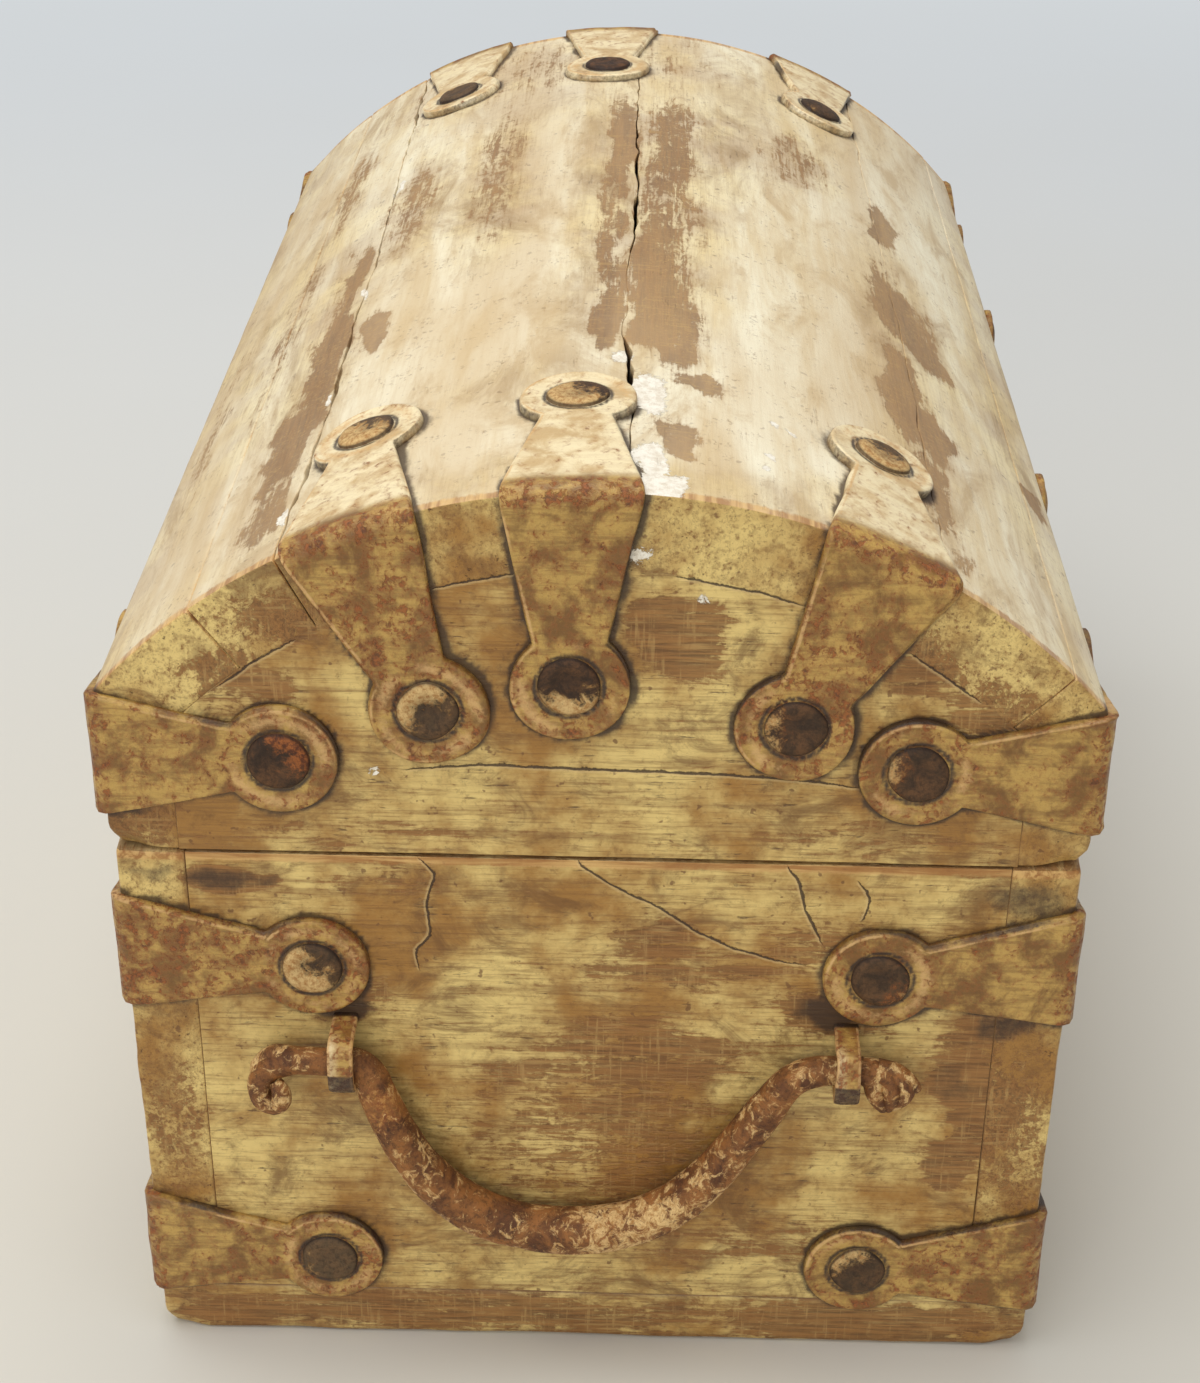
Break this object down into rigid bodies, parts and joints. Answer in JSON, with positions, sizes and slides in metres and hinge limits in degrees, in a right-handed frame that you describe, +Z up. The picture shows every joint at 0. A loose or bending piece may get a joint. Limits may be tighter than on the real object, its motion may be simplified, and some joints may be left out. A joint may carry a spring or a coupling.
{
  "type": "dome-topped wooden storage chest",
  "caption": "Small dome-topped wooden storage chest bound with nailed iron straps, with a hinged lid of curved staves and a swinging iron bail handle on each end.",
  "frame": {"origin": "under the middle of the bottom board, on the surface that the chest stands on", "axes": "+X along the chest to the pictured end, +Y to the back with the hinges, +Z up"},
  "size_m": [0.3584, 0.2123, 0.2184],
  "materials": {
    "painted_wood": "old ochre paint worn to brown wood along edges and cracks",
    "painted_iron": "ochre paint over hammered strip iron, speckled with rust",
    "nail_iron": "dark iron with remains of paint",
    "forged_iron": "dark forged iron with chipped paint"
  },
  "bodies": {
    "box": {"bottom_board": "painted_wood", "back_board": "painted_wood", "front_board": "painted_wood", "right_end_board": "painted_wood", "left_end_board": "painted_wood", "upper_strap_back_right": "painted_iron", "upper_strap_front_right": "painted_iron", "upper_strap_back_left": "painted_iron", "upper_strap_front_left": "painted_iron", "lower_strap_back_right": "painted_iron", "lower_strap_front_right": "painted_iron", "lower_strap_back_left": "painted_iron", "lower_strap_front_left": "painted_iron", "handle_staple_back_right": "painted_iron", "handle_staple_front_right": "painted_iron", "handle_staple_back_left": "painted_iron", "handle_staple_front_left": "painted_iron", "box_hinge_leaf_right": "painted_iron", "box_hinge_leaf_left": "painted_iron", "hinge_pin_right": "forged_iron", "hinge_pin_left": "forged_iron", "box_nails": "nail_iron", "bottom_nails": "nail_iron"},
    "lid": {"back_stave": "painted_wood", "back_crown_stave": "painted_wood", "front_crown_stave": "painted_wood", "front_stave": "painted_wood", "lid_back_rail": "painted_wood", "lid_front_rail": "painted_wood", "lid_right_panel": "painted_wood", "lid_left_panel": "painted_wood", "lid_strap_back_right": "painted_iron", "lid_strap_front_right": "painted_iron", "lid_strap_back_left": "painted_iron", "lid_strap_front_left": "painted_iron", "arch_strap_front_right": "painted_iron", "arch_strap_middle_right": "painted_iron", "arch_strap_back_right": "painted_iron", "arch_strap_front_left": "painted_iron", "arch_strap_middle_left": "painted_iron", "arch_strap_back_left": "painted_iron", "lid_hinge_leaf_right": "painted_iron", "lid_hinge_leaf_left": "painted_iron", "lid_nails": "nail_iron"},
    "bail_right": {"bail_right": "forged_iron"},
    "bail_left": {"bail_left": "forged_iron"}
  },
  "joints": [
    {"name": "lid_hinge", "type": "hinge", "parent": "box", "child": "lid", "pos_m": [0, 0.1044, 0.13225], "axis": [-1, 0, 0], "range_deg": [0, 165]},
    {"name": "bail_right_swing", "type": "hinge", "parent": "box", "child": "bail_right", "pos_m": [0.1722, 0, 0.0838], "axis": [0, -1, 0], "range_deg": [0, 160]},
    {"name": "bail_left_swing", "type": "hinge", "parent": "box", "child": "bail_left", "pos_m": [-0.1722, 0, 0.0838], "axis": [0, 1, 0], "range_deg": [0, 160]}
  ]
}
